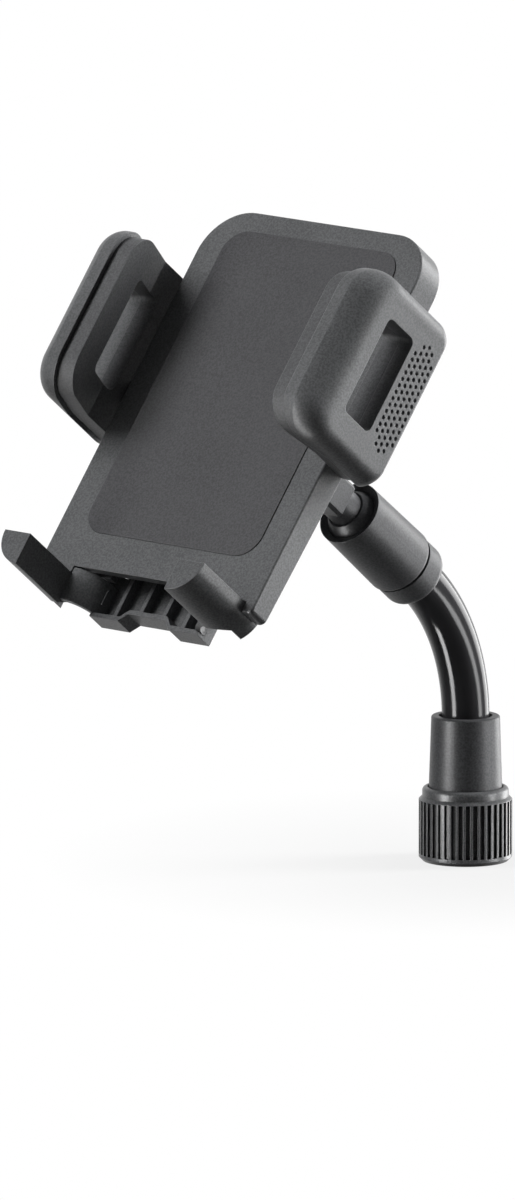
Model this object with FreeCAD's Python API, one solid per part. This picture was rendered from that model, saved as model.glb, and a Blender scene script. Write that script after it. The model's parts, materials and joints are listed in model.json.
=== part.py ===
import FreeCAD, Part
import math
import os

# Holder with a clamp: a ribbed nut, a bent arm, a ball joint and a sprung clamp with two jaws and a foot.
# Frame: origin at the centre of the nut's bottom face, +Z up, the clamp faces -Y.
# All sizes are in millimetres and degrees.

# Clearances
running_gap = 0.05
turning_gap = 0.30
sliding_gap = 0.30
loose_gap = 0.50

# Base nut with its thread insert
thread_r = 3.175
insert_r = 6.0
insert_height = 8.0
nut_r = 10.95
nut_height = 17.5
nut_chamfer = 0.9
nut_shoulder_r = 10.15
nut_shoulder_round = 1.0
rib_count = 40
rib_groove_share = 0.62
rib_depth = 0.6
rib_bottom = 1.7
rib_top = 14.5
web_thickness = 2.0

# Clip that keeps the nut on the collar
clip_r = 6.6
clip_thickness = 0.8
clip_gap_angle = 50.0

# Lower collar
stub_r = 5.0
stub_groove_depth = 0.8
collar_low_r = 8.6
collar_top_r = 8.05
collar_top_z = 34.3
collar_edge = 0.5
collar_recess_depth = 2.6
collar_recess_width = 0.7

# Bent tube
tube_r = 5.6
tube_wall = 1.4
tube_bottom_z = 17.0
bend_corner_z = 55.5
bend_angle = 52.2

# Ball joint, measured along the arm's upper axis from the bend's corner
socket_low = 21.7
socket_high = 28.6
socket_r = 7.95
socket_dome_r = 5.0
tube_end = 33.0
spigot_r = 6.85
spigot_length = 12.0
nut_groove = 0.4
lock_nut_low_r = 8.3
lock_nut_top_r = 8.0
lock_nut_top = 51.4
lock_nut_edge = 1.1
lock_lip_r = 6.3
lock_face_depth = 0.8
lock_face_rim = 0.3
ball_r = 6.6
ball_drop = 3.0
seat_thickness = 3.2
neck_r = 4.2
neck_length = 9.1
block_side = 8.4
block_chamfer = 0.8
flange_r = 13.0
flange_thickness = 3.0
flange_cone = 4.0
spigot_in_ball_r = 2.0
spigot_in_ball_depth = 8.0

# Clamp housing, measured from the ball's axis on the plane of the plate's front
clamp_reach = 100.4
clamp_twist = -1.0
plate_half_width = 34.5
plate_top = 49.2
plate_bottom = -51.5
plate_corner_r = 12.0
plate_foot_corner_r = 1.5
plate_depth = 7.8
plate_depth_low = 5.7
plate_taper_top = 20.0
plate_wall = 2.0
plate_edge = 0.5
pad_half_width = 27.0
pad_top = 44.0
pad_bottom = -38.0
pad_corner_r = 6.0
pad_recess = 0.6
pad_proud = 0.25
cover_gap = 0.15
lid_thickness_low = 2.0
box_half_width = 22.0
box_top = 32.0
box_bottom = -44.0
box_corner_r = 8.0
box_depth = 13.0
box_edge = 1.5
box_wall = 2.3
boss_r = 15.0
boss_height = 6.0
screw_head_r = 2.4
screw_head_height = 1.4
screw_r = 1.25
screw_length = 3.2
screw_post_r = 3.0
screw_inset = 6.0
cover_screw_rows = (-36.0, 40.0)
stem_screw_circle_r = 9.5
stem_screw_length = 7.0

# Rack and pinion
gear_y = 9.2
gear_module = 1.0
gear_teeth = 12
gear_thickness = 2.8
gear_backlash = 0.3
pressure_angle = 20.0
pinion_tip = 0.9
pinion_root = 0.95
rack_tip = 0.6
rack_root = 1.3
rack_bar_height = 4.0
rack_inner_end = -20.0
axle_r = 1.5
hub_r = 3.0
hub_gap = 1.2
spring_strip = 0.5
spring_pitch = 1.3
spring_turns = 4
spring_width = 2.6

# Jaws
jaw_gap = 1.25
jaw_thickness = 9.2
jaw_height = 44.6
jaw_front = 23.4
jaw_back = -9.2
jaw_front_corner_r = 9.0
jaw_back_corner_r = 4.0
jaw_lip = 4.8
jaw_knee = 6.0
liner_thickness = 5.0
liner_inset = 1.3
rim_width = 3.3
crown_front = 9.0
crown_side = 5.0
crown_back = 2.0
crown_steps = 6
slot_height = 25.0
slot_width = 10.6
slot_centre = 7.8
slot_corner_r = 1.7
rack_in_shell = 2.4

# Foot with two prongs and a ribbed tray
prong_r = 8.0
prong_inner_x = 23.4
prong_top = -49.0
prong_front = 17.5
prong_back = -7.0
prong_relief = 4.2
prong_relief_width = 5.0
cheek_front = -0.2
cheek_wall = 1.2
tray_half_width = 15.75
tray_front = -5.0
tray_bottom = -56.8
tray_top = -47.5
tray_wall = 1.1
tray_floor = 1.5
tray_step = 2.1
tray_step_half_width = 5.9
tray_rib = 1.0
tray_rib_places = (3.6, 10.7)
tray_rib_drop = 1.3
tongue_half_width = 14.6
tongue_top = -20.0

# Places worked out from the sizes above
ball_s = lock_nut_top - ball_drop
gear_pitch_r = gear_module * gear_teeth / 2
rack_front = -plate_wall - sliding_gap
rack_back = rack_front - gear_thickness
lid_inner = rack_back - sliding_gap
stub_end = insert_height + loose_gap
web_low = stub_end + clip_thickness + 2 * loose_gap
web_high = web_low + web_thickness
flange_s = clamp_reach - box_depth - boss_height
bend_r = socket_low / math.tan(math.radians(bend_angle / 2))
jaw_inner_x = plate_half_width + jaw_gap
jaw_outer_x = jaw_inner_x + jaw_thickness
lip_slope = jaw_lip / (jaw_front - liner_inset - jaw_knee)
rim_x = jaw_inner_x + liner_thickness - lip_slope * (jaw_front - jaw_knee) + rim_width
tray_back = -box_depth + box_wall + sliding_gap
floor_top = box_bottom - sliding_gap


def vec(x, y, z):
    return FreeCAD.Vector(x, y, z)


def polygon_face(points):
    corners = [vec(*point) for point in points]
    return Part.Face(Part.makePolygon(corners + corners[:1]))


def revolve(profile):
    """Turn a closed outline of (radius, height) points about the Z axis."""
    face = polygon_face([(radius, 0, height) for radius, height in profile])
    return face.revolve(vec(0, 0, 0), vec(0, 0, 1), 360)


def cylinder(radius, low, high, x=0.0, y=0.0):
    return Part.makeCylinder(radius, high - low, vec(x, y, low))


def block(x_range, y_range, z_range):
    return Part.makeBox(
        x_range[1] - x_range[0],
        y_range[1] - y_range[0],
        z_range[1] - z_range[0],
        vec(x_range[0], y_range[0], z_range[0]),
    )


def rounded_wire(u_range, v_range, radii, place):
    """Rounded rectangle; radii run from the low-u low-v corner anticlockwise, place maps (u, v) to space."""
    (u0, u1), (v0, v1) = u_range, v_range
    corners = [(u0, v0, 1, 1, 180), (u1, v0, -1, 1, 270), (u1, v1, -1, -1, 0), (u0, v1, 1, -1, 90)]
    spans = []
    for (u, v, du, dv, start), radius in zip(corners, radii):
        centre = (u + du * radius, v + dv * radius)
        angles = [math.radians(start + turn) for turn in (0, 45, 90)]
        spans.append([
            place(centre[0] + radius * math.cos(angle), centre[1] + radius * math.sin(angle))
            for angle in angles
        ])
    edges = []
    for here, following in zip(spans, spans[1:] + spans[:1]):
        edges.append(Part.Arc(*here).toShape())
        edges.append(Part.LineSegment(here[2], following[0]).toShape())
    return Part.Wire(edges)


def rounded_prism(x_range, y_range, z_range, radii):
    wire = rounded_wire(x_range, y_range, radii, lambda x, y: vec(x, y, z_range[0]))
    return Part.Face(wire).extrude(vec(0, 0, z_range[1] - z_range[0]))


def circle_edges(solid, height):
    return [
        edge for edge in solid.Edges
        if isinstance(edge.Curve, Part.Circle)
        and abs(edge.BoundBox.ZMin - height) < 1e-4
        and abs(edge.BoundBox.ZMax - height) < 1e-4
    ]


def outer_circle(solid, height):
    return [max(circle_edges(solid, height), key=lambda edge: edge.Curve.Radius)]


def edges_on_plane(solid, height):
    return [
        edge for edge in solid.Edges
        if abs(edge.BoundBox.ZMin - height) < 1e-4 and abs(edge.BoundBox.ZMax - height) < 1e-4
    ]


def around(shape, count):
    copies = []
    for index in range(count):
        copy = shape.copy()
        copy.rotate(vec(0, 0, 0), vec(0, 0, 1), 360.0 * index / count)
        copies.append(copy)
    return copies


def to_head(shape, shift=0.0):
    """Lay a shape made along +Z onto the arm's upper axis, shifted along it from the bend's corner."""
    placed = shape.copy()
    placed.translate(vec(0, 0, shift))
    placed.rotate(vec(0, 0, 0), vec(1, 0, 0), bend_angle)
    placed.translate(vec(0, 0, bend_corner_z))
    return placed


def to_cradle(shape, shift=0.0):
    """Like to_head, for the pieces that turn with the clamp on its ball."""
    turned = shape.copy()
    turned.rotate(vec(0, 0, 0), vec(0, 0, 1), clamp_twist)
    return to_head(turned, shift)


def to_clamp(shape):
    return to_cradle(shape, clamp_reach)


def to_left(shape):
    """The left half is the right one turned half round the pinion."""
    turned = shape.copy()
    turned.rotate(vec(0, gear_y, 0), vec(0, 0, 1), 180)
    return turned


def save(name, shape):
    shape.exportStep("parts/" + name + ".step")


# Base

def make_base_nut():
    cavity_r = collar_low_r + turning_gap
    pocket_r = clip_r + loose_gap
    body = revolve([
        (insert_r, 0), (nut_r - nut_chamfer, 0), (nut_r, nut_chamfer), (nut_r, rib_top),
        (nut_shoulder_r, rib_top + (nut_r - nut_shoulder_r)), (nut_shoulder_r, nut_height),
        (cavity_r, nut_height), (cavity_r, web_high), (stub_r + running_gap, web_high),
        (stub_r + running_gap, web_low), (pocket_r, web_low), (pocket_r, insert_height),
        (insert_r, insert_height),
    ])
    edge_r = min(nut_shoulder_round, 0.8 * (nut_shoulder_r - cavity_r))
    body = body.makeFillet(edge_r, outer_circle(body, nut_height))
    half_groove = rib_groove_share * math.pi * nut_r / rib_count
    groove = block(
        (nut_r - rib_depth, nut_r + rib_depth), (-half_groove, half_groove), (rib_bottom, rib_top))
    return body.cut(Part.makeCompound(around(groove, rib_count)))


def make_thread_insert():
    return cylinder(insert_r, 0, insert_height).cut(cylinder(thread_r, 0, insert_height))


def make_retaining_clip():
    low = stub_end + loose_gap
    ring = cylinder(clip_r, low, low + clip_thickness)
    ring = ring.cut(cylinder(stub_r - stub_groove_depth, low, low + clip_thickness))
    half = math.radians(clip_gap_angle / 2)
    reach = 2 * clip_r
    mouth = polygon_face([
        (0, 0, low),
        (reach * math.cos(half), -reach * math.sin(half), low),
        (reach * math.cos(half), reach * math.sin(half), low),
    ]).extrude(vec(0, 0, clip_thickness))
    return ring.cut(mouth)


def make_lower_collar():
    groove_low = stub_end + loose_gap
    groove_high = groove_low + clip_thickness
    groove_r = stub_r - stub_groove_depth
    shoulder = web_high + turning_gap
    recess_r = tube_r + collar_recess_width
    body = revolve([
        (0, stub_end), (stub_r, stub_end), (stub_r, groove_low), (groove_r, groove_low),
        (groove_r, groove_high), (stub_r, groove_high), (stub_r, shoulder), (collar_low_r, shoulder),
        (collar_low_r, nut_height), (collar_top_r, collar_top_z), (recess_r, collar_top_z),
        (recess_r, collar_top_z - collar_recess_depth), (tube_r, collar_top_z - collar_recess_depth),
        (tube_r, tube_bottom_z), (0, tube_bottom_z),
    ])
    return body.makeFillet(collar_edge, outer_circle(body, collar_top_z))


def bent_rod(radius):
    tangent = bend_r * math.tan(math.radians(bend_angle / 2))
    bend_z = bend_corner_z - tangent
    straight = cylinder(radius, tube_bottom_z, bend_z)
    section = Part.Face(Part.Wire(Part.Circle(vec(0, 0, bend_z), vec(0, 0, 1), radius).toShape()))
    bend = section.revolve(vec(0, -bend_r, bend_z), vec(1, 0, 0), bend_angle)
    upper = to_head(cylinder(radius, tangent, tube_end))
    return straight.fuse([bend, upper]).removeSplitter()


def make_arm_tube():
    return bent_rod(tube_r).cut(bent_rod(tube_r - tube_wall))


# Ball joint

def make_socket_body():
    spigot_end = socket_high + nut_groove + spigot_length
    body = revolve([
        (tube_r, socket_low), (socket_r, socket_low), (socket_r, socket_high),
        (spigot_r, socket_high), (spigot_r, spigot_end), (0, spigot_end), (0, tube_end), (tube_r, tube_end),
    ])
    dome = min(socket_dome_r, 0.9 * (socket_r - tube_r))
    return to_head(body.makeFillet(dome, outer_circle(body, socket_low)))


def make_lock_nut():
    low = socket_high + nut_groove
    thread_end = low + spigot_length
    cavity_r = max(ball_r, spigot_r) + turning_gap
    lip = lock_nut_top - lock_face_depth
    cone = cavity_r - lock_lip_r
    body = revolve([
        (spigot_r + running_gap, low), (lock_nut_low_r, low), (lock_nut_top_r, lock_nut_top),
        (lock_nut_top_r - lock_face_rim, lock_nut_top), (lock_lip_r, lip),
        (cavity_r, lip - 2 * cone), (cavity_r, thread_end), (spigot_r + running_gap, thread_end),
    ])
    edge_r = min(lock_nut_edge, 0.8 * (lock_nut_low_r - spigot_r - running_gap))
    return to_head(body.makeFillet(edge_r, outer_circle(body, low)))


def make_ball_seat():
    low = socket_high + nut_groove + spigot_length + running_gap
    high = low + seat_thickness
    body = cylinder(spigot_r, low, high)
    return to_head(body.cut(Part.makeSphere(ball_r + 2 * running_gap, vec(0, 0, ball_s))))


def make_ball():
    body = Part.makeSphere(ball_r, vec(0, 0, ball_s))
    mouth = ball_s + math.sqrt(ball_r ** 2 - neck_r ** 2)
    body = body.cut(cylinder(neck_r + loose_gap, mouth - loose_gap, ball_s + ball_r))
    bore_r = spigot_in_ball_r + running_gap
    return to_head(body.cut(cylinder(bore_r, mouth - spigot_in_ball_depth - loose_gap, ball_s + ball_r)))


def make_ball_stem():
    mouth = ball_s + math.sqrt(ball_r ** 2 - neck_r ** 2)
    block_s = ball_s + neck_length
    cone_s = flange_s - flange_thickness - flange_cone
    half = block_side / 2
    body = cylinder(spigot_in_ball_r, mouth - spigot_in_ball_depth, mouth)
    neck = cylinder(neck_r, mouth - loose_gap + running_gap, block_s)
    square = block((-half, half), (-half, half), (block_s, flange_s - flange_thickness))
    long_edges = [edge for edge in square.Edges if edge.BoundBox.ZLength > half]
    square = square.makeChamfer(block_chamfer, long_edges)
    cone_r = stem_screw_circle_r - screw_head_r - sliding_gap
    cone = Part.makeCone(half, cone_r, flange_cone, vec(0, 0, cone_s))
    flange = cylinder(flange_r, flange_s - flange_thickness, flange_s)
    body = body.fuse([neck, square, cone, flange]).removeSplitter()
    return to_cradle(body.cut(Part.makeCompound(stem_screw_shapes(cone_s - flange_cone))))


def stem_screw_shapes(head_end):
    """Screws through the flange; heads sit on its back and may be drawn longer to cut their way in."""
    seat = flange_s - flange_thickness / 2
    head = cylinder(screw_head_r, head_end, seat, stem_screw_circle_r)
    shank = cylinder(screw_r, seat, seat + stem_screw_length, stem_screw_circle_r)
    screw = head.fuse(shank)
    screw.rotate(vec(0, 0, 0), vec(0, 0, 1), 45)
    return around(screw, 4)


def make_stem_screws():
    seat = flange_s - flange_thickness / 2
    screws = [
        screw.cut(cross_slot(screw, seat - screw_head_height))
        for screw in stem_screw_shapes(seat - screw_head_height)
    ]
    return to_cradle(Part.makeCompound(screws))


def cross_slot(screw, head_end, depth=0.7):
    """Cross recess in a screw head whose top is at head_end and whose shank runs towards +Z."""
    box = screw.BoundBox
    centre_x = (box.XMin + box.XMax) / 2
    centre_y = (box.YMin + box.YMax) / 2
    long_half = 0.6 * screw_head_r
    thin_half = 0.18 * screw_head_r
    z_range = (head_end, head_end + depth)
    first = block(
        (centre_x - long_half, centre_x + long_half), (centre_y - thin_half, centre_y + thin_half), z_range)
    second = block(
        (centre_x - thin_half, centre_x + thin_half), (centre_y - long_half, centre_y + long_half), z_range)
    return first.fuse(second)


# Clamp housing, with X across, Y up the clamp and Z out of its face

def plate_outline(inset, z_range):
    return rounded_prism(
        (-plate_half_width + inset, plate_half_width - inset),
        (plate_bottom + inset, plate_top - inset),
        z_range,
        (max(plate_foot_corner_r - inset, 0.3),) * 2 + (plate_corner_r - inset,) * 2,
    )


def behind_plate():
    """Everything behind the plate's back, which leans forward towards the foot."""
    far = 4 * plate_depth
    wide = 2 * plate_half_width
    side = polygon_face([
        (-wide, 2 * plate_bottom, -plate_depth_low), (-wide, plate_bottom, -plate_depth_low),
        (-wide, plate_taper_top, -plate_depth), (-wide, 2 * plate_top, -plate_depth),
        (-wide, 2 * plate_top, -far), (-wide, 2 * plate_bottom, -far),
    ])
    return side.extrude(vec(2 * wide, 0, 0))


def foot_room():
    """Space at the bottom of the housing that the foot slides out of."""
    deep = 2 * box_depth
    prong_side = prong_inner_x + prong_r + sliding_gap
    below = 2 * plate_bottom
    prongs = block((-prong_side, prong_side), (below, prong_top + sliding_gap), (-deep, deep))
    tray_side = prong_inner_x + sliding_gap
    tray = block((-tray_side, tray_side), (below, tray_top + sliding_gap), (-deep, deep))
    return prongs.fuse(tray)


def rack_slot_shape(gap, reach):
    """The right rack's path through a wall, from the middle of the clamp outwards."""
    low = gear_y + gear_pitch_r - rack_tip
    high = gear_y + gear_pitch_r + rack_root + rack_bar_height
    return block((0, reach), (low - gap, high + gap), (rack_back - gap, rack_front + gap))


def cover_screw_places():
    across = plate_half_width - screw_inset
    return [(side * across, row) for side in (-1, 1) for row in cover_screw_rows]


def plate_back(y):
    share = (min(y, plate_taper_top) - plate_bottom) / (plate_taper_top - plate_bottom)
    return -plate_depth_low - share * (plate_depth - plate_depth_low)


def make_front_plate():
    body = plate_outline(0, (-2 * plate_depth, 0))
    body = body.makeFillet(plate_edge, edges_on_plane(body, 0))
    body = body.cut(plate_outline(plate_wall, (-2 * plate_depth, -plate_wall)))
    posts = [cylinder(screw_post_r, lid_face(), -plate_wall, x, y) for x, y in cover_screw_places()]
    boss = cylinder(axle_r + plate_wall, rack_front + running_gap, -plate_wall, 0, gear_y)
    body = body.fuse(posts + [boss])
    reach = 2 * plate_half_width
    slots = [rack_slot_shape(sliding_gap, reach), to_left(rack_slot_shape(sliding_gap, reach))]
    holes = [cylinder(screw_r, -plate_depth, screw_tip(), x, y) for x, y in cover_screw_places()]
    axle_hole = cylinder(axle_r, -plate_depth, -plate_wall / 2 - pad_recess / 2, 0, gear_y)
    return body.cut([behind_plate(), foot_room(), pad_prism(0), axle_hole] + slots + holes)


def lid_face():
    return plate_back(plate_bottom) + lid_thickness_low


def screw_seat():
    return plate_back(min(cover_screw_rows)) + screw_head_height + running_gap


def screw_tip():
    return min(screw_seat() + screw_length, -plate_wall)


def pad_prism(proud):
    return rounded_prism(
        (-pad_half_width, pad_half_width), (pad_bottom, pad_top), (-pad_recess, proud), (pad_corner_r,) * 4)


def make_rear_cover():
    inset = plate_wall + cover_gap
    lid = plate_outline(inset, (-2 * plate_depth, lid_face())).cut(behind_plate())
    raised = rounded_prism(
        (-box_half_width, box_half_width), (box_bottom, box_top),
        (-box_depth, lid_face()), (box_corner_r,) * 4)
    raised = raised.makeFillet(box_edge, edges_on_plane(raised, -box_depth))
    boss = cylinder(boss_r, -box_depth - boss_height, -box_depth + box_wall)
    boss = boss.makeFillet(box_edge / 2, outer_circle(boss, -box_depth - boss_height))
    room_half = tongue_half_width + sliding_gap
    room_top = gear_y + spring_outer_r() + 2 * loose_gap
    room = block((-room_half, room_half), (2 * plate_bottom, room_top), (-box_depth + box_wall, 0))
    rack_low = gear_y - (gear_pitch_r + rack_root + rack_bar_height + sliding_gap)
    rack_high = 2 * gear_y - rack_low
    racks = block((-2 * plate_half_width, 2 * plate_half_width), (rack_low, rack_high), (lid_inner, 0))
    axle_hole = cylinder(axle_r, -box_depth + box_wall / 2, 0, 0, gear_y)
    seats = []
    for x, y in cover_screw_places():
        seats.append(cylinder(screw_head_r + cover_gap, -2 * plate_depth, screw_seat(), x, y))
        seats.append(cylinder(screw_r, -plate_depth, 0, x, y))
    stem_holes = [
        cylinder(screw_r, -box_depth - boss_height, -box_depth - boss_height + stem_screw_length, x, y)
        for x, y in stem_screw_places()
    ]
    body = lid.fuse([raised, boss, spring_post()]).removeSplitter()
    return body.cut([foot_room(), room.cut(spring_post()), racks, axle_hole] + seats + stem_holes)


def stem_screw_places():
    corner = stem_screw_circle_r / math.sqrt(2)
    return [(sx * corner, sy * corner) for sx in (-1, 1) for sy in (-1, 1)]


def make_cover_screws():
    screws = []
    seat = screw_seat()
    for x, y in cover_screw_places():
        head = cylinder(screw_head_r, seat - screw_head_height, seat, x, y)
        screw = head.fuse(cylinder(screw_r, seat, screw_tip(), x, y))
        screws.append(screw.cut(cross_slot(screw, seat - screw_head_height)))
    return Part.makeCompound(screws)


# Rack and pinion

def involute_angle(radius, base_r):
    steep = math.sqrt(max((radius / base_r) ** 2 - 1, 0))
    return steep - math.atan(steep)


def make_pinion():
    base_r = gear_pitch_r * math.cos(math.radians(pressure_angle))
    root_r = gear_pitch_r - pinion_root * gear_module
    tip_r = gear_pitch_r + pinion_tip * gear_module
    pitch_half = math.pi / (2 * gear_teeth) - gear_backlash / (4 * gear_pitch_r)
    flank = [root_r] + [base_r + (tip_r - base_r) * step / 3 for step in range(4)]
    outline = []
    for tooth in range(gear_teeth):
        middle = math.pi / 2 + 2 * math.pi * tooth / gear_teeth
        half_angles = [
            pitch_half + involute_angle(gear_pitch_r, base_r) - involute_angle(radius, base_r)
            for radius in flank
        ]
        side = [(radius, middle - half) for radius, half in zip(flank, half_angles)]
        other = [(radius, middle + half) for radius, half in zip(flank, half_angles)]
        for radius, angle in side + other[::-1]:
            outline.append((radius * math.cos(angle), gear_y + radius * math.sin(angle), rack_back))
    gear = polygon_face(outline).extrude(vec(0, 0, gear_thickness))
    hub = cylinder(hub_r, -box_depth + box_wall + hub_gap, rack_back, 0, gear_y)
    bore = cylinder(axle_r + running_gap, -2 * box_depth, 0, 0, gear_y)
    return gear.fuse(hub).removeSplitter().cut(bore)


def make_pinion_axle():
    return cylinder(axle_r, -box_depth + box_wall / 2, -plate_wall / 2 - pad_recess / 2, 0, gear_y)


def spring_inner_r():
    return hub_r + sliding_gap


def spring_outer_r():
    return spring_inner_r() + spring_turns * spring_pitch + spring_strip


def spring_span():
    back = -box_depth + box_wall + loose_gap
    return back, back + spring_width


def spring_post():
    """Post on the cover that holds the spring's outer end."""
    low = -box_depth + box_wall / 2
    x = -spring_outer_r() - box_wall / 2 - running_gap
    return cylinder(box_wall / 2, low, spring_span()[1], x, gear_y)


def make_spiral_spring():
    """Flat spiral of half circles, each a little larger than the last, with a strip of even thickness."""
    low, high = spring_span()
    strips = []
    for half_turn in range(2 * spring_turns):
        inner = spring_inner_r() + half_turn * spring_pitch / 2
        centre_x = -spring_pitch / 4 if half_turn % 2 else spring_pitch / 4
        ring = cylinder(inner + spring_pitch / 4 + spring_strip, low, high, centre_x, gear_y)
        ring = ring.cut(cylinder(inner + spring_pitch / 4, low, high, centre_x, gear_y))
        far = 3 * spring_outer_r()
        upper = half_turn % 2 == 0
        y_range = (gear_y, gear_y + far) if upper else (gear_y - far, gear_y)
        strips.append(ring.common(block((-far, far), y_range, (low, high))))
    return strips[0].fuse(strips[1:]).removeSplitter()


def make_right_rack():
    pitch = math.pi * gear_module
    pitch_y = gear_y + gear_pitch_r
    slope = math.tan(math.radians(pressure_angle))
    half = pitch / 4 - gear_backlash / 4
    root_y = pitch_y + rack_root * gear_module
    tip_y = pitch_y - rack_tip * gear_module
    outer_end = jaw_inner_x + liner_thickness + rack_in_shell
    bar = block((rack_inner_end, outer_end), (root_y, root_y + rack_bar_height), (rack_back, rack_front))
    first = math.ceil((rack_inner_end + pitch / 2) / pitch - 0.5)
    last = math.floor(-rack_inner_end / pitch)
    teeth = []
    for index in range(first, last):
        middle = (index + 0.5) * pitch
        tip_half = half - rack_tip * gear_module * slope
        root_half = half + rack_root * gear_module * slope
        tooth = polygon_face([
            (middle - root_half, root_y, rack_back), (middle - tip_half, tip_y, rack_back),
            (middle + tip_half, tip_y, rack_back), (middle + root_half, root_y, rack_back),
        ])
        teeth.append(tooth.extrude(vec(0, 0, gear_thickness)))
    body = bar.fuse(teeth).removeSplitter()
    return body.cut(jaw_screw_shank())


# Jaws

def jaw_section(x, inset_front=0.0, inset_side=0.0, inset_back=0.0):
    """Outline of the jaw seen from its side, at a distance x across the clamp."""
    half = jaw_height / 2
    front_r = max(jaw_front_corner_r - (inset_front + inset_side) / 2, 2.0)
    back_r = max(jaw_back_corner_r - inset_back, 1.0)
    return rounded_wire(
        (gear_y - half + inset_side, gear_y + half - inset_side),
        (jaw_back + inset_back, jaw_front - inset_front),
        (back_r, back_r, front_r, front_r),
        lambda y, z: vec(x, y, z),
    )


def jaw_prism(inset, x_range):
    wire = jaw_section(x_range[0], inset, inset, inset)
    return Part.Face(wire).extrude(vec(x_range[1] - x_range[0], 0, 0))


def jaw_layer(near, far):
    """Layer between two distances outwards from the jaw's gripping face."""
    beyond = jaw_front + 2 * jaw_lip
    behind = 2 * jaw_back
    end_x = jaw_inner_x - lip_slope * (beyond - jaw_knee)
    below = 2 * -jaw_height
    face = polygon_face([
        (jaw_inner_x + near, below, behind), (jaw_inner_x + near, below, jaw_knee),
        (end_x + near, below, beyond), (end_x + far, below, beyond),
        (jaw_inner_x + far, below, jaw_knee), (jaw_inner_x + far, below, behind),
    ])
    return face.extrude(vec(0, 4 * jaw_height, 0))


def crown_section(rise):
    """Outline of the shell between its rim, at rise 0, and its outer face, at rise 1."""
    span = jaw_outer_x - rim_x
    depth = span * (1 - rise)
    arc_r = (span ** 2 + crown_front ** 2) / (2 * span)
    front = crown_front - math.sqrt(depth * (2 * arc_r - depth))
    fall = 1 - math.sqrt(1 - rise ** 2)
    return jaw_section(rim_x + span * rise, front, crown_side * fall, crown_back * fall)


def slot_prism():
    wire = rounded_wire(
        (gear_y - slot_height / 2, gear_y + slot_height / 2),
        (slot_centre - slot_width / 2, slot_centre + slot_width / 2),
        (slot_corner_r,) * 4,
        lambda y, z: vec(0, y, z),
    )
    return Part.Face(wire).extrude(vec(2 * jaw_outer_x, 0, 0))


def jaw_screw_x():
    return jaw_inner_x + liner_thickness + rack_in_shell / 2


def jaw_screw_y():
    return gear_y + gear_pitch_r + rack_root + rack_bar_height / 2


def jaw_screw_shank():
    radius = screw_r * 0.6
    return cylinder(radius, jaw_back, rack_front - (rack_front - rack_back) / 4, jaw_screw_x(), jaw_screw_y())


def jaw_screw_head(extra):
    return cylinder(
        rack_in_shell / 2 + extra, jaw_back - extra, jaw_back + screw_head_height,
        jaw_screw_x(), jaw_screw_y())


def make_right_jaw_shell():
    skirt = Part.makeLoft([jaw_section(jaw_inner_x - 2 * jaw_lip), jaw_section(rim_x)], True, True)
    turns = [math.pi / 2 * step / crown_steps for step in range(crown_steps + 1)]
    crown = Part.makeLoft([crown_section(math.sin(turn)) for turn in turns], True, False)
    body = skirt.fuse(crown).removeSplitter()
    rack_pocket = rack_slot_shape(0, jaw_inner_x + liner_thickness + rack_in_shell)
    return body.cut([
        jaw_layer(-4 * jaw_lip, liner_thickness), slot_prism(), rack_pocket,
        jaw_screw_shank(), jaw_screw_head(running_gap),
    ])


def make_right_jaw_liner():
    body = jaw_prism(liner_inset, (jaw_inner_x - 2 * jaw_lip, jaw_outer_x))
    body = body.common(jaw_layer(0, liner_thickness))
    return body.cut([slot_prism(), rack_slot_shape(0, 2 * jaw_outer_x)])


def make_right_jaw_screw():
    head = jaw_screw_head(0)
    return head.fuse(jaw_screw_shank()).removeSplitter()


# Foot

def make_prong(side):
    """Quarter-round bar with its flat side inwards and its flat top to the front."""
    inner = side * prong_inner_x
    rod = cylinder(prong_r, prong_back, prong_front, inner, prong_top)
    x_range = sorted((inner, inner + side * prong_r))
    low = prong_top - prong_r
    quarter = block(x_range, (low, prong_top), (prong_back, prong_front))
    relief = polygon_face([
        (inner, low, cheek_front), (inner, low, prong_back), (inner, low + prong_relief, prong_back)])
    return rod.common(quarter).cut(relief.extrude(vec(side * prong_relief_width, 0, 0)))


def make_cheek(side):
    """Thin wall that curves from a prong's inner side back to the floor of the tray."""
    radius = prong_inner_x - tray_half_width
    y_range = (prong_top - prong_r + tray_wall, tray_top)
    height = y_range[1] - y_range[0]
    bend_z = cheek_front - radius
    centre = vec(side * prong_inner_x, y_range[0], bend_z)
    ring = Part.makeCylinder(radius, height, centre, vec(0, 1, 0))
    ring = ring.cut(Part.makeCylinder(radius - cheek_wall, height, centre, vec(0, 1, 0)))
    x_range = sorted((side * tray_half_width, side * prong_inner_x))
    curve = ring.common(block(x_range, y_range, (bend_z, cheek_front)))
    leg_x = sorted((side * tray_half_width, side * (tray_half_width + cheek_wall)))
    back_y = (prong_top - prong_r / 2, prong_top)
    back = block(x_range, back_y, (prong_back, prong_back + cheek_wall))
    return curve.fuse([block(leg_x, y_range, (tray_back, bend_z)), back])


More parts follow.
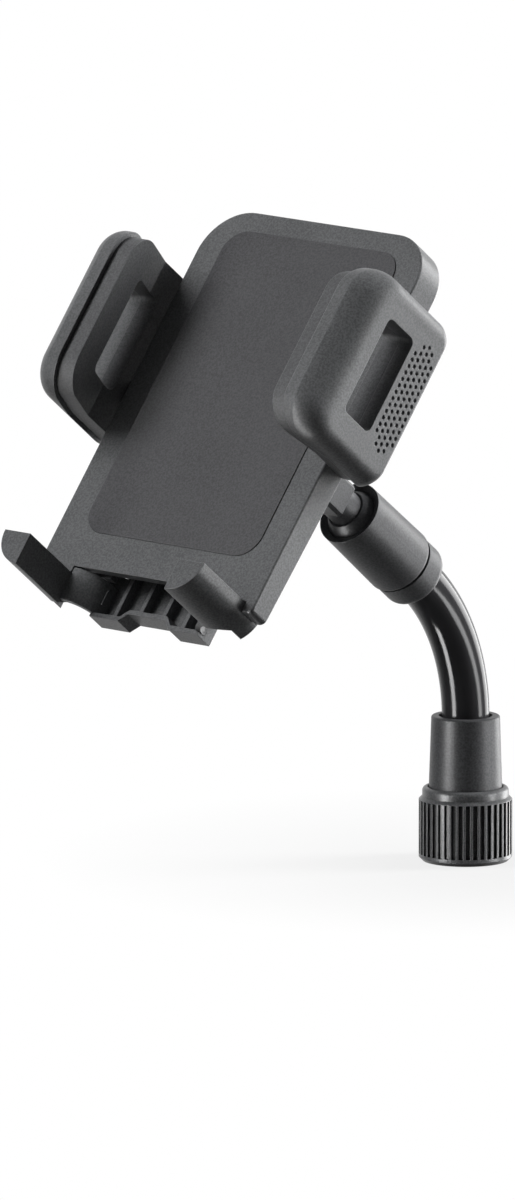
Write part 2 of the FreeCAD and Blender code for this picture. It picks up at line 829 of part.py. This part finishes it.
def make_foot_bracket():
    raised = tray_step_half_width
    flank = raised + tray_step
    side = tray_half_width + cheek_wall
    outer = [(-side, 0), (-flank, 0), (-raised, tray_step), (raised, tray_step), (flank, 0), (side, 0)]
    lower = [(x, tray_bottom + y, tray_back) for x, y in outer]
    upper = [(x, tray_bottom + y + tray_wall, tray_back) for x, y in reversed(outer)]
    sill = polygon_face(lower + upper).extrude(vec(0, 0, tray_front - tray_back))
    shoulder = [(side, prong_top), (prong_inner_x, prong_top), (prong_inner_x, floor_top)]
    right_top = [(x, y, tray_back) for x, y in shoulder]
    left_top = [(-x, y, tray_back) for x, y in reversed(shoulder)]
    floor = polygon_face(lower + right_top + left_top).extrude(vec(0, 0, tray_floor))
    tongue = block(
        (-tongue_half_width, tongue_half_width), (floor_top, tongue_top), (tray_back, tray_back + tray_floor))
    rib_front = min(tray_front - tray_rib_drop, plate_back(floor_top) - sliding_gap)
    ribs = [
        block(
            (sign * place - tray_rib / 2, sign * place + tray_rib / 2),
            (tray_bottom + tray_wall / 2 + (tray_step if place < raised else 0), floor_top),
            (tray_back, rib_front),
        )
        for sign in (-1, 1) for place in tray_rib_places
    ]
    pieces = [floor, tongue] + ribs
    pieces += [make_prong(sign) for sign in (-1, 1)] + [make_cheek(sign) for sign in (-1, 1)]
    return sill.fuse(pieces).removeSplitter()


def main():
    os.makedirs("parts", exist_ok=True)
    save("base_nut", make_base_nut())
    save("thread_insert", make_thread_insert())
    save("retaining_clip", make_retaining_clip())
    save("lower_collar", make_lower_collar())
    save("arm_tube", make_arm_tube())
    save("socket_body", make_socket_body())
    save("lock_nut", make_lock_nut())
    save("ball_seat", make_ball_seat())
    save("ball", make_ball())
    save("ball_stem", make_ball_stem())
    save("stem_screws", make_stem_screws())
    clamp_pieces = {
        "front_plate": make_front_plate,
        "rear_cover": make_rear_cover,
        "cover_screws": make_cover_screws,
        "pinion": make_pinion,
        "pinion_axle": make_pinion_axle,
        "spiral_spring": make_spiral_spring,
        "foot_bracket": make_foot_bracket,
    }
    for name, make in clamp_pieces.items():
        save(name, to_clamp(make()))
    save("back_pad", to_clamp(pad_prism(pad_proud)))
    jaw_pieces = {
        "rack": make_right_rack,
        "jaw_shell": make_right_jaw_shell,
        "jaw_liner": make_right_jaw_liner,
        "jaw_screw": make_right_jaw_screw,
    }
    for name, make in jaw_pieces.items():
        piece = make()
        save("right_" + name, to_clamp(piece))
        save("left_" + name, to_clamp(to_left(piece)))


main()
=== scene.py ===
import json
import math

import bmesh
import bpy
from mathutils import Matrix, Vector


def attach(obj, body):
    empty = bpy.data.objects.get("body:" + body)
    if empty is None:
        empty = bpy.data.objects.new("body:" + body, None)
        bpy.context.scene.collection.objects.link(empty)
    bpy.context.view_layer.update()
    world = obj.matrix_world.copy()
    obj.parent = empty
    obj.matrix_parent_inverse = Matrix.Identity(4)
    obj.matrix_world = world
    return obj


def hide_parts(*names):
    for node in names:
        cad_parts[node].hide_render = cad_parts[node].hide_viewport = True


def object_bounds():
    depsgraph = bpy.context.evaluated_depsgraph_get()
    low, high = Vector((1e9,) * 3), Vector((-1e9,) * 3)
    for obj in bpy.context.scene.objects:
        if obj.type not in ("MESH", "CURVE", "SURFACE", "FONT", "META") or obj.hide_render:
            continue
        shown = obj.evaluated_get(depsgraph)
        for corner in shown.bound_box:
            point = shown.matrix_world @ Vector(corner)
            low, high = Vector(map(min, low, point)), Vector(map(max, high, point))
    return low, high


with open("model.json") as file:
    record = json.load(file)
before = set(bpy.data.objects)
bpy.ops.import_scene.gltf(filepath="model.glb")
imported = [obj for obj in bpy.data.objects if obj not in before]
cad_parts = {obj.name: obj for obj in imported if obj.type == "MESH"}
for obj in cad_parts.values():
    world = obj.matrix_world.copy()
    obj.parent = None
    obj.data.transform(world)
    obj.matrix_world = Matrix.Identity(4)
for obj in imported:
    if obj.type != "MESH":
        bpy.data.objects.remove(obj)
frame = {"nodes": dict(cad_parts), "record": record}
cad_low, cad_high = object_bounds()

MM = 0.001

# Camera: viewing angles, the picture's size and scale, and the pixel where the nut's foot lies
VIEW_AZIMUTH = 42.4
VIEW_ELEVATION = 9.4
IMAGE_WIDTH = 515
IMAGE_HEIGHT = 1200
PIXELS_PER_METRE = 4308.0
NUT_FOOT_PIXEL = (467.2, 861.7)
# The scale holds on a plane this far in front of the nut's middle
SCALE_PLANE = 0.04
CAMERA_DISTANCE = 4.5
SENSOR = 36.0
CLIP_RANGE = (0.1, 100.0)

# Clamp's place, and the pits on its jaws
LEAN = 52.2
CLAMP_TWIST = -1.0
BEND_CORNER_Z = 55.5 * MM
CLAMP_REACH = 100.4 * MM
JAW_MIDDLE_Y = 9.2 * MM
JAW_OUTER_X = 44.95 * MM
PIT_RADIUS = 0.56 * MM
PIT_DEPTH = 0.5 * MM
PIT_PITCH = 1.73 * MM
PIT_COLUMN_PITCH = 1.69 * MM
PIT_FRONT_Z = 0.54 * MM
PIT_COLUMNS = (13, 16, 17, 16, 13)

# Webs at the tray's corners, in the clamp's own frame
TRAY_FLOOR_Y = -44.3 * MM
HOUSING_CORNER_X = 14.0 * MM
HOUSING_CORNER_Y = -36.0 * MM
HOUSING_CORNER_R = 8.0 * MM
WEB_GAP = 0.3 * MM
WEB_ANGLE = 35.0
WEB_STEPS = 10
WEB_OUTER_X = 23.4 * MM
WEB_TOP_Y = -40.8 * MM
WEB_BACK_Z = -10.4 * MM
WEB_FRONT_Z = -8.9 * MM

# Smooth shading stops at edges that turn more than this
SMOOTH_ANGLE = 18.0

# Noise, as scale per metre, detail and roughness
DRIFT_NOISE = (45.0, 3.0, 0.5)
SPECK_NOISE = (2100.0, 2.0, 0.6)
GRAIN_NOISE = (3400.0, 2.0, 0.6)
COAT_NOISE = (60.0, 3.0, 0.5)
WAVE_NOISE = (220.0, 2.0, 0.5)
STREAK_NOISE = (900.0, 4.0, 0.7)
FLOOR_NOISE = (3.0, 2.0, 0.5)

# Moulded plastic: how tone and gloss vary, and the depth of its grain
SPECK_RANGE = (0.38, 0.62)
SPECK_SHARE = 0.7
DRIFT_SHARE = 0.3
TONE_SPREAD = 0.3
GLOSS_SPREAD = 0.04
GRAIN_DEPTH = 0.05 * MM

# Painted highlight on outer edges: paler edges, found by how far the softened normal turns and how open the
# place is
EDGE_SAMPLES = 6
EDGE_SHARE = 0.8
EDGE_HIGHLIGHT_TONE = 2.2
EDGE_TURN = (0.75, 0.98)
EDGE_REACH = 0.8 * MM
EDGE_OPENING = (0.75, 0.95)
EDGE_OPENING_SAMPLES = 4

# Painted shade in the grooves, darker where the place is less open
GROOVE_SHADE_TONE = 0.12
GROOVE_REACH = 1.2 * MM
GROOVE_OPENING = (0.7, 0.95)
GROOVE_OPENING_SAMPLES = 8

# Glossy coat of the tube
COAT_SPREAD = 0.2
COAT_ROUGHNESS = (0.12, 0.17)
COAT_SPECULAR = 0.14
WAVE_STRENGTH = 0.04
WAVE_DEPTH = 0.1 * MM

# Metal
STREAK_TONE = 0.8
STREAK_GLOSS = 0.06
STREAK_STRENGTH = 0.1
STREAK_DEPTH = 0.03 * MM

# Colours
PLASTIC = (0.095, 0.097, 0.100)
# darker arm plastic: partly its own tone, partly painted shade for the jaw's shadow on the lock nut and ball
ARM_PLASTIC_AND_SHADE = (0.060, 0.061, 0.064)
LINER = (0.075, 0.076, 0.079)
PAD = (0.05, 0.05, 0.053)
GEAR_PLASTIC = (0.75, 0.75, 0.72)
GLOSS_BLACK = (0.030, 0.030, 0.032)
BRASS = (0.72, 0.55, 0.27)
STEEL = (0.55, 0.55, 0.57)

# Pieces with the arm's darker plastic, which is also painted shade standing in for the jaw's shadow on the
# lock nut and ball
ARM_PIECES = ("lower_collar", "socket_body", "lock_nut", "ball", "ball_stem")

# Studio: the floor glows a little less near its middle, so that it keeps the part's shadow
FLOOR_RADIUS = 0.12
FLOOR_STEPS = 96
FLOOR_DROP = 0.2 * MM
FLOOR_DARK = (0.38, 0.38, 0.38)
FLOOR_LIGHT = (0.42, 0.42, 0.42)
FLOOR_ROUGHNESS = 0.9
FLOOR_SPECULAR = 0.1
FLOOR_GLOW = (0.8, 1.0)
FLOOR_GLOW_RADII = (0.015, 0.1)
WALL_LEVEL = 0.03
WALL_EDGE = (-0.8, -0.2)
AMBIENT = 0.13
PANEL_DISTANCE = 1.4


# Materials

def new_material(name):
    material = bpy.data.materials.new(name)
    material.use_nodes = True
    nodes = material.node_tree.nodes
    return material, nodes, material.node_tree.links, nodes["Principled BSDF"]


def scaled(colour, factor):
    return tuple(part * factor for part in colour)


def add_noise(nodes, links, scale, detail, roughness):
    place = nodes.new("ShaderNodeTexCoord")
    noise = nodes.new("ShaderNodeTexNoise")
    noise.inputs["Scale"].default_value = scale
    noise.inputs["Detail"].default_value = detail
    noise.inputs["Roughness"].default_value = roughness
    links.new(place.outputs["Object"], noise.inputs["Vector"])
    return noise.outputs["Fac"]


def add_ramp(nodes, links, value, low, high, start=0.3, end=0.7):
    ramp = nodes.new("ShaderNodeMapRange")
    ramp.inputs["From Min"].default_value = start
    ramp.inputs["From Max"].default_value = end
    ramp.inputs["To Min"].default_value = low
    ramp.inputs["To Max"].default_value = high
    links.new(value, ramp.inputs["Value"])
    return ramp.outputs["Result"]


def add_math(nodes, links, operation, first, second):
    node = nodes.new("ShaderNodeMath")
    node.operation = operation
    links.new(first, node.inputs[0])
    links.new(second, node.inputs[1])
    return node.outputs[0]


def add_tint(nodes, links, value, dark, light):
    mix = nodes.new("ShaderNodeMix")
    mix.data_type = "RGBA"
    mix.inputs["A"].default_value = (*dark, 1)
    mix.inputs["B"].default_value = (*light, 1)
    links.new(value, mix.inputs["Factor"])
    return mix.outputs["Result"]


def add_bump(nodes, links, height, strength, depth):
    bump = nodes.new("ShaderNodeBump")
    bump.inputs["Strength"].default_value = strength
    bump.inputs["Distance"].default_value = depth
    links.new(height, bump.inputs["Height"])
    return bump


def add_opening(nodes, reach, samples):
    """How open the surroundings are: 1 on a free face, less in corners and grooves."""
    opening = nodes.new("ShaderNodeAmbientOcclusion")
    opening.samples = samples
    opening.inputs["Distance"].default_value = reach
    return opening.outputs["AO"]


def moulded_plastic(name, colour, roughness, grain, edge=0.0, specular=0.5, groove_shade_tone=1.0):
    """Moulded plastic with fine grain, a slow drift of tone, slightly uneven gloss, softened edges with a
    painted highlight, and painted shade in grooves when groove_shade_tone is below 1.
    """
    material, nodes, links, shader = new_material(name)
    drift = add_noise(nodes, links, *DRIFT_NOISE)
    speck = add_noise(nodes, links, *SPECK_NOISE)
    speck_part = add_ramp(nodes, links, speck, 0.0, SPECK_SHARE, *SPECK_RANGE)
    drift_part = add_ramp(nodes, links, drift, 0.0, DRIFT_SHARE)
    both = add_math(nodes, links, "ADD", speck_part, drift_part)
    tone = add_tint(nodes, links, both, scaled(colour, 1 - TONE_SPREAD), scaled(colour, 1 + TONE_SPREAD))
    gloss = add_ramp(nodes, links, drift, roughness - GLOSS_SPREAD, roughness + GLOSS_SPREAD)
    links.new(gloss, shader.inputs["Roughness"])
    shader.inputs["Specular IOR Level"].default_value = specular
    bump = add_bump(nodes, links, add_noise(nodes, links, *GRAIN_NOISE), grain, GRAIN_DEPTH)
    if edge:
        soften = nodes.new("ShaderNodeBevel")
        soften.samples = EDGE_SAMPLES
        soften.inputs["Radius"].default_value = edge
        links.new(soften.outputs["Normal"], bump.inputs["Normal"])
        # painted highlight on the outer edges
        tone = paint_edge_highlight(nodes, links, soften.outputs["Normal"], tone, colour)
    if groove_shade_tone < 1:
        # painted shade in the grooves
        tone = paint_groove_shade(nodes, links, tone, groove_shade_tone)
    links.new(tone, shader.inputs["Base Color"])
    links.new(bump.outputs["Normal"], shader.inputs["Normal"])
    return material


def paint_edge_highlight(nodes, links, softened, tone, colour):
    """Painted highlight: slightly paler outer edges, standing in for the light that rounded edges catch;
    inner corners stay as they are.
    """
    surface = nodes.new("ShaderNodeNewGeometry")
    turn = nodes.new("ShaderNodeVectorMath")
    turn.operation = "DOT_PRODUCT"
    links.new(softened, turn.inputs[0])
    links.new(surface.outputs["Normal"], turn.inputs[1])
    edge = add_ramp(nodes, links, turn.outputs["Value"], EDGE_SHARE, 0.0, *EDGE_TURN)
    opening = add_opening(nodes, EDGE_REACH, EDGE_OPENING_SAMPLES)
    free = add_ramp(nodes, links, opening, 0.0, 1.0, *EDGE_OPENING)
    mix = nodes.new("ShaderNodeMix")
    mix.data_type = "RGBA"
    links.new(add_math(nodes, links, "MULTIPLY", edge, free), mix.inputs["Factor"])
    links.new(tone, mix.inputs["A"])
    mix.inputs["B"].default_value = (*scaled(colour, EDGE_HIGHLIGHT_TONE), 1)
    return mix.outputs["Result"]


def paint_groove_shade(nodes, links, tone, groove_shade_tone):
    """Painted shade: grooves darker in tone than the ribs between them, by how open the place is."""
    opening = add_opening(nodes, GROOVE_REACH, GROOVE_OPENING_SAMPLES)
    scale = nodes.new("ShaderNodeVectorMath")
    scale.operation = "SCALE"
    links.new(tone, scale.inputs[0])
    share = add_ramp(nodes, links, opening, groove_shade_tone, 1.0, *GROOVE_OPENING)
    links.new(share, scale.inputs["Scale"])
    return scale.outputs["Vector"]


def gloss_coat(name, colour):
    """Smooth glossy black coat on the bent tube, with the slightest waviness."""
    material, nodes, links, shader = new_material(name)
    drift = add_noise(nodes, links, *COAT_NOISE)
    tone = add_tint(nodes, links, drift, scaled(colour, 1 - COAT_SPREAD), scaled(colour, 1 + COAT_SPREAD))
    links.new(tone, shader.inputs["Base Color"])
    links.new(add_ramp(nodes, links, drift, *COAT_ROUGHNESS), shader.inputs["Roughness"])
    shader.inputs["Specular IOR Level"].default_value = COAT_SPECULAR
    bump = add_bump(nodes, links, add_noise(nodes, links, *WAVE_NOISE), WAVE_STRENGTH, WAVE_DEPTH)
    links.new(bump.outputs["Normal"], shader.inputs["Normal"])
    return material


def metal(name, colour, roughness):
    """Turned or rolled metal with fine streaks."""
    material, nodes, links, shader = new_material(name)
    streak = add_noise(nodes, links, *STREAK_NOISE)
    tone = add_tint(nodes, links, streak, scaled(colour, STREAK_TONE), colour)
    links.new(tone, shader.inputs["Base Color"])
    gloss = add_ramp(nodes, links, streak, roughness - STREAK_GLOSS, roughness + STREAK_GLOSS)
    links.new(gloss, shader.inputs["Roughness"])
    shader.inputs["Metallic"].default_value = 1.0
    bump = add_bump(nodes, links, streak, STREAK_STRENGTH, STREAK_DEPTH)
    links.new(bump.outputs["Normal"], shader.inputs["Normal"])
    return material


finishes = {
    "black_plastic": moulded_plastic(
        "satin_black_plastic", PLASTIC, roughness=0.36, grain=0.25, edge=0.25 * MM, specular=0.16),
    "ribbed_plastic": moulded_plastic(
        "ribbed_black_plastic", PLASTIC, roughness=0.34, grain=0.2, edge=0.28 * MM, specular=0.3,
        groove_shade_tone=GROOVE_SHADE_TONE),
    # darker plastic, partly painted shade where the jaw's shadow falls on the lock nut and ball
    "arm_dark_plastic_and_shade": moulded_plastic(
        "arm_darker_plastic_and_painted_shade", ARM_PLASTIC_AND_SHADE, roughness=0.43, grain=0.25, edge=0.2 * MM, specular=0.18),
    "jaw_plastic": moulded_plastic(
        "grained_jaw_plastic", PLASTIC, roughness=0.42, grain=0.3, edge=0.3 * MM, specular=0.16),
    "soft_liner": moulded_plastic(
        "soft_liner_rubber", LINER, roughness=0.6, grain=0.3, edge=0.3 * MM, specular=0.2),
    "soft_pad": moulded_plastic(
        "soft_pad_rubber", PAD, roughness=0.8, grain=0.6, edge=0.2 * MM, specular=0.3),
    "gear_plastic": moulded_plastic("white_gear_plastic", GEAR_PLASTIC, roughness=0.45, grain=0.15),
    "gloss_black": gloss_coat("gloss_black_coat", GLOSS_BLACK),
    "brass": metal("turned_brass", BRASS, roughness=0.3),
    "steel": metal("plated_steel", STEEL, roughness=0.32),
}


# Pieces

def shade_smooth(piece):
    for face in piece.data.polygons:
        face.use_smooth = True
    piece.data.set_sharp_from_angle(angle=math.radians(SMOOTH_ANGLE))


def clamp_matrix():
    """Places clamp points in the model: x across, y along the plate, z out of it, from the plate's middle."""
    lean = math.radians(LEAN)
    twist = math.radians(CLAMP_TWIST)
    along = Vector((0, math.cos(lean), math.sin(lean)))
    out = Vector((0, -math.sin(lean), math.cos(lean)))
    across = Vector((1, 0, 0))
    x_axis = across * math.cos(twist) + along * math.sin(twist)
    y_axis = along * math.cos(twist) - across * math.sin(twist)
    matrix = Matrix((x_axis, y_axis, out)).transposed().to_4x4()
    matrix.translation = Vector((0, 0, BEND_CORNER_Z)) + out * CLAMP_REACH
    return matrix


def pit_places():
    """Staggered field of small pits beside the slot, as y and z on the jaw's outer face."""
    for column, count in enumerate(PIT_COLUMNS):
        z = PIT_FRONT_Z - column * PIT_COLUMN_PITCH
        for row in range(count):
            yield JAW_MIDDLE_Y + (row - (count - 1) / 2) * PIT_PITCH, z


def make_pit_cutter(side):
    """One ball for each pit, sunk into the jaw's outer face by the pit's depth."""
    ball_r = (PIT_RADIUS ** 2 + PIT_DEPTH ** 2) / (2 * PIT_DEPTH)
    to_model = clamp_matrix()
    balls = bmesh.new()
    for y, z in pit_places():
        if side < 0:
            y = 2 * JAW_MIDDLE_Y - y
        centre = Vector((side * (JAW_OUTER_X + ball_r - PIT_DEPTH), y, z))
        place = Matrix.Translation(to_model @ centre)
        bmesh.ops.create_icosphere(balls, subdivisions=2, radius=ball_r, matrix=place)
    mesh = bpy.data.meshes.new("pit_cutter")
    balls.to_mesh(mesh)
    balls.free()
    return bpy.data.objects.new("pit_cutter", mesh)


def make_pitted_shell(side, name):
    """Jaw shell with the field of pits sunk into its outer face."""
    node = frame["nodes"][name + "_jaw_shell"]
    cutter = make_pit_cutter(side)
    shell = bpy.data.objects.new(name + "_jaw_shell_pitted", node.data.copy())
    for piece in (cutter, shell):
        bpy.context.scene.collection.objects.link(piece)
    cut = shell.modifiers.new("pits", "BOOLEAN")
    cut.operation = "DIFFERENCE"
    cut.solver = "EXACT"
    cut.object = cutter
    graph = bpy.context.evaluated_depsgraph_get()
    mesh = bpy.data.meshes.new_from_object(shell.evaluated_get(graph))
    shell.modifiers.clear()
    shell.data = mesh
    bpy.data.objects.remove(cutter)
    mesh.materials.clear()
    mesh.materials.append(finishes["jaw_plastic"])
    shade_smooth(shell)
    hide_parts(name + "_jaw_shell")
    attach(shell, name + "_jaw")


def web_outline():
    """Section of a tray web, which follows the rounded corner of the housing down to the tray's floor."""
    reach = HOUSING_CORNER_R + WEB_GAP
    outline = [(WEB_OUTER_X, TRAY_FLOOR_Y), (WEB_OUTER_X, WEB_TOP_Y)]
    for step in range(WEB_STEPS + 1):
        angle = math.radians(WEB_ANGLE + (90.0 - WEB_ANGLE) * step / WEB_STEPS)
        y = HOUSING_CORNER_Y - reach * math.sin(angle)
        outline.append((HOUSING_CORNER_X + reach * math.cos(angle), max(y, TRAY_FLOOR_Y)))
        if y <= TRAY_FLOOR_Y:
            break
    return outline


def make_tray_corner(side, name):
    """Small web that closes the tray beside the rounded corner of the housing."""
    mesh = bmesh.new()
    to_model = clamp_matrix()
    corners = [mesh.verts.new(to_model @ Vector((side * x, y, WEB_BACK_Z))) for x, y in web_outline()]
    face = mesh.faces.new(corners)
    swept = bmesh.ops.extrude_face_region(mesh, geom=[face])
    moved = [part for part in swept["geom"] if isinstance(part, bmesh.types.BMVert)]
    shift = to_model.to_3x3() @ Vector((0, 0, WEB_FRONT_Z - WEB_BACK_Z))
    bmesh.ops.translate(mesh, verts=moved, vec=shift)
    bmesh.ops.recalc_face_normals(mesh, faces=mesh.faces)
    data = bpy.data.meshes.new(name)
    mesh.to_mesh(data)
    mesh.free()
    web = bpy.data.objects.new(name, data)
    bpy.context.scene.collection.objects.link(web)
    data.materials.append(finishes["black_plastic"])
    shade_smooth(web)
    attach(web, "foot")


def dress_frame():
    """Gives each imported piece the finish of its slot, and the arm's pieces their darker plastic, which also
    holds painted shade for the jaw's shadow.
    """
    slot_of = {entry["node"]: entry["material_slot"] for entry in frame["record"]["subparts"]}
    for name, node in frame["nodes"].items():
        node.data.materials.clear()
        node.data.materials.append(finishes["arm_dark_plastic_and_shade" if name in ARM_PIECES else slot_of[name]])
        shade_smooth(node)


# Stage, lights and camera

def camera_axes():
    """The camera's right, up and backward directions."""
    azimuth = math.radians(VIEW_AZIMUTH)
    elevation = math.radians(VIEW_ELEVATION)
    back = Vector((
        math.sin(azimuth) * math.cos(elevation),
        -math.cos(azimuth) * math.cos(elevation),
        math.sin(elevation),
    ))
    right = Vector((math.cos(azimuth), math.sin(azimuth), 0))
    return right, back.cross(right), back


def make_camera():
    right, up, back = camera_axes()
    across = (IMAGE_WIDTH / 2 - NUT_FOOT_PIXEL[0]) / PIXELS_PER_METRE
    above = (NUT_FOOT_PIXEL[1] - IMAGE_HEIGHT / 2) / PIXELS_PER_METRE
    target = right * across + up * above + back * SCALE_PLANE
    data = bpy.data.cameras.new("camera")
    data.sensor_width = SENSOR
    view_height = IMAGE_HEIGHT / PIXELS_PER_METRE
    data.lens = SENSOR * CAMERA_DISTANCE / view_height
    data.clip_start, data.clip_end = CLIP_RANGE
    camera = bpy.data.objects.new("camera", data)
    bpy.context.scene.collection.objects.link(camera)
    camera.location = target + back * CAMERA_DISTANCE
    camera.rotation_mode = "QUATERNION"
    camera.rotation_quaternion = back.to_track_quat("Z", "Y")
    bpy.context.scene.camera = camera


def seen_directly(nodes, links):
    """1 for what the camera sees, straight or by reflection, 0 for the light that falls on the object."""
    path = nodes.new("ShaderNodeLightPath")
    total = path.outputs["Is Camera Ray"]
    for name in ("Is Glossy Ray", "Is Transmission Ray"):
        total = add_math(nodes, links, "MAXIMUM", total, path.outputs[name])
    return total


def make_floor():
    """Pale disc that keeps the shadow; reflections pass it, so that the sheen lamps reach the lower sides."""
    mesh = bpy.data.meshes.new("floor")
    turns = [2 * math.pi * step / FLOOR_STEPS for step in range(FLOOR_STEPS)]
    ring = [(FLOOR_RADIUS * math.cos(turn), FLOOR_RADIUS * math.sin(turn), 0) for turn in turns]
    mesh.from_pydata(ring, [], [tuple(range(FLOOR_STEPS))])
    floor = bpy.data.objects.new("floor", mesh)
    bpy.context.scene.collection.objects.link(floor)
    floor.location.z = cad_low.z - FLOOR_DROP
    floor.visible_glossy = False
    material, nodes, links, shader = new_material("pale_floor")
    noise = add_noise(nodes, links, *FLOOR_NOISE)
    links.new(add_tint(nodes, links, noise, FLOOR_DARK, FLOOR_LIGHT), shader.inputs["Base Color"])
    shader.inputs["Roughness"].default_value = FLOOR_ROUGHNESS
    shader.inputs["Specular IOR Level"].default_value = FLOOR_SPECULAR
    place = nodes.new("ShaderNodeTexCoord")
    radius = nodes.new("ShaderNodeVectorMath")
    radius.operation = "LENGTH"
    links.new(place.outputs["Object"], radius.inputs[0])
    level = add_ramp(nodes, links, radius.outputs["Value"], *FLOOR_GLOW, *FLOOR_GLOW_RADII)
    glow = nodes.new("ShaderNodeEmission")
    mix = nodes.new("ShaderNodeMixShader")
    links.new(add_math(nodes, links, "MULTIPLY", seen_directly(nodes, links), level), mix.inputs["Fac"])
    links.new(shader.outputs["BSDF"], mix.inputs[1])
    links.new(glow.outputs["Emission"], mix.inputs[2])
    links.new(mix.outputs["Shader"], nodes["Material Output"].inputs["Surface"])
    mesh.materials.append(material)


def make_world():
    """White surround that lights the object only a little, with a dark wall in it for reflections."""
    world = bpy.data.worlds.new("studio")
    world.use_nodes = True
    bpy.context.scene.world = world
    nodes = world.node_tree.nodes
    links = world.node_tree.links
    background = nodes["Background"]
    background.inputs["Color"].default_value = (1, 1, 1, 1)
    place = nodes.new("ShaderNodeTexCoord")
    toward = nodes.new("ShaderNodeVectorMath")
    toward.operation = "DOT_PRODUCT"
    # The wall stands at a fixed side of the part, the one that the main picture is taken from
    toward.inputs[1].default_value = camera_axes()[2]
    links.new(place.outputs["Generated"], toward.inputs[0])
    wall = nodes.new("ShaderNodeMapRange")
    wall.interpolation_type = "SMOOTHSTEP"
    wall.inputs["From Min"].default_value, wall.inputs["From Max"].default_value = WALL_EDGE
    wall.inputs["To Min"].default_value = 1.0
    wall.inputs["To Max"].default_value = WALL_LEVEL
    links.new(toward.outputs["Value"], wall.inputs["Value"])
    path = nodes.new("ShaderNodeLightPath")
    shown = nodes.new("ShaderNodeMix")
    links.new(path.outputs["Is Camera Ray"], shown.inputs["Factor"])
    links.new(wall.outputs["Result"], shown.inputs["A"])
    shown.inputs["B"].default_value = 1.0
    level = nodes.new("ShaderNodeMix")
    links.new(seen_directly(nodes, links), level.inputs["Factor"])
    level.inputs["A"].default_value = AMBIENT
    links.new(shown.outputs["Result"], level.inputs["B"])
    links.new(level.outputs["Result"], background.inputs["Strength"])


def add_panel(name, azimuth, elevation, size, brightness, diffuse=True, glossy=True):
    """Soft box seen from the object at an angle from the camera, with its brightness as white is 1."""
    right, _, back = camera_axes()
    azimuth = math.radians(azimuth)
    elevation = math.radians(elevation)
    level = Vector((back.x, back.y, 0)).normalized()
    toward = (level * math.cos(azimuth) + right * math.sin(azimuth)) * math.cos(elevation)
    toward.z = math.sin(elevation)
    data = bpy.data.lights.new(name, "AREA")
    data.shape = "RECTANGLE"
    data.size, data.size_y = size
    data.energy = brightness * math.pi * size[0] * size[1]
    lamp = bpy.data.objects.new(name, data)
    bpy.context.scene.collection.objects.link(lamp)
    lamp.location = (cad_low + cad_high) / 2 + toward * PANEL_DISTANCE
    lamp.rotation_mode = "QUATERNION"
    lamp.rotation_quaternion = toward.to_track_quat("Z", "Y")
    lamp.visible_diffuse = diffuse
    lamp.visible_glossy = glossy


def make_lights():
    """Two panels give the light, and three more only show as sheen."""
    add_panel("left_panel", -80, 46, (0.6, 1.0), 12.5, glossy=False)
    add_panel("right_panel", 100, 21, (0.45, 0.8), 33.0, glossy=False)
    add_panel("left_sheen", -58, -25, (0.45, 2.9), 34.0, diffuse=False)
    add_panel("right_sheen", 78, -6, (0.4, 1.2), 17.0, diffuse=False)
    add_panel("edge_sheen", 128, -4, (0.8, 1.2), 8.0, diffuse=False)


def main():
    bpy.context.scene.view_settings.view_transform = "Standard"
    dress_frame()
    make_pitted_shell(1, "right")
    make_pitted_shell(-1, "left")
    make_tray_corner(1, "right_tray_web")
    make_tray_corner(-1, "left_tray_web")
    make_floor()
    make_world()
    make_lights()
    make_camera()


main()
